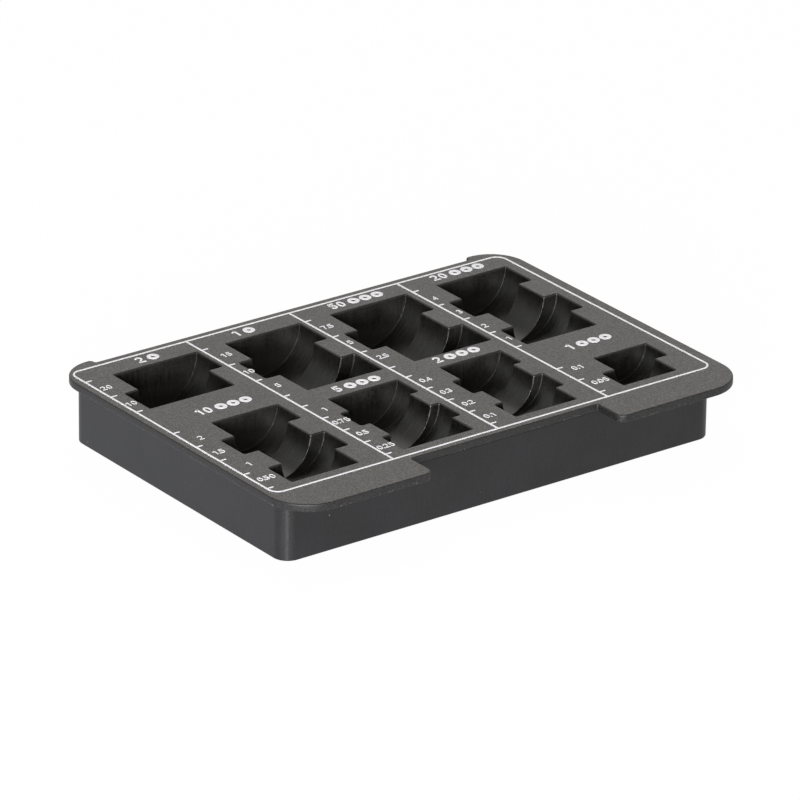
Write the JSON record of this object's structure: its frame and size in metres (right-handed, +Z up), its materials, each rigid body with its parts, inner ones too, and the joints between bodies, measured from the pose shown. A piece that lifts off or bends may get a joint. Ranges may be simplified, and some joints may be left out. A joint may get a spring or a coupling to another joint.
{
  "type": "coin counting tray",
  "caption": "Flat black counting tray with stepped half-round troughs that hold coins on edge in groups beside a printed value scale; hangs in or stands on a cash drawer.",
  "frame": {"origin": "middle of the part's box, on the surface that the skirt stands on", "axes": "+X along the two rows of troughs, +Y from the front lugs to the rear, +Z up"},
  "size_m": [0.152, 0.1128, 0.0202],
  "materials": {
    "black_plastic": "fine-grained moulded deck, smooth satin troughs",
    "white_print": "thin matt screen print"
  },
  "bodies": {
    "root": {"deck_plate": "black_plastic", "skirt": "black_plastic", "trough_2_euro": "black_plastic", "trough_1_euro": "black_plastic", "trough_50_cent": "black_plastic", "trough_20_cent": "black_plastic", "trough_10_cent": "black_plastic", "trough_5_cent": "black_plastic", "trough_2_cent": "black_plastic", "trough_1_cent": "black_plastic", "print_border": "white_print", "print_dividers": "white_print", "scale_2_euro": "white_print", "scale_1_euro": "white_print", "scale_50_cent": "white_print", "scale_20_cent": "white_print", "scale_10_cent": "white_print", "scale_5_cent": "white_print", "scale_2_cent": "white_print", "scale_1_cent": "white_print"}
  },
  "joints": []
}
